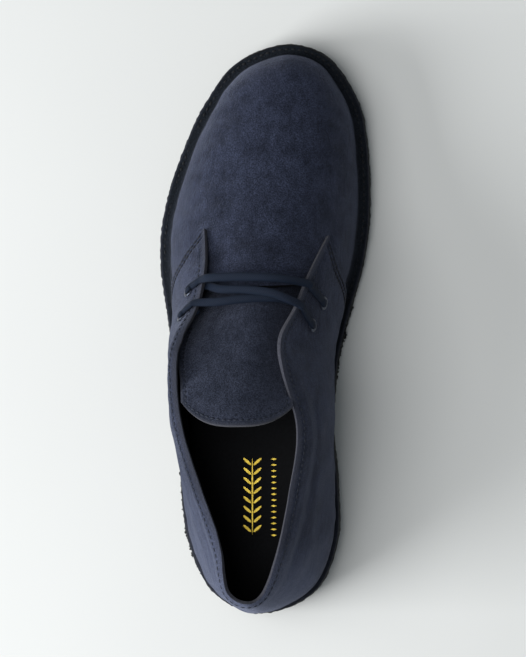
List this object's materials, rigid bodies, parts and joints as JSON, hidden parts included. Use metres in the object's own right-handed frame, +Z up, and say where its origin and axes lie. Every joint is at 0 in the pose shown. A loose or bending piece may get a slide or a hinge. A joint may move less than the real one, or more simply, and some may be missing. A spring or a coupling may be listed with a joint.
{
  "type": "chukka boot",
  "caption": "Left ankle-high suede chukka boot with low open lacing, wide rounded tongue, stitched-out welt edge and crepe sole with heel lift, standing empty and unbent",
  "frame": {"origin": "middle of the bounding box in plan, on the floor the sole stands on", "axes": "+Y towards the toe along the length of the boot, +X towards the medial side (the wearer's right on this left boot), +Z up"},
  "size_m": [0.11, 0.2946, 0.1135],
  "materials": {
    "crepe": "matte, fibrous edge",
    "midsole": "matte",
    "insole": "satin",
    "suede": "napped suede",
    "lace": "waxed woven cord",
    "eyelet": "dark lacquer"
  },
  "bodies": {
    "root": {"outsole": "crepe", "heel_lift": "crepe", "midsole": "midsole", "insole": "insole", "upper": "suede", "tongue": "suede", "lace_bar": "lace", "lace_crossing": "lace", "eyelet_lateral_lower": "eyelet", "eyelet_lateral_upper": "eyelet", "eyelet_medial_lower": "eyelet", "eyelet_medial_upper": "eyelet"}
  },
  "joints": []
}
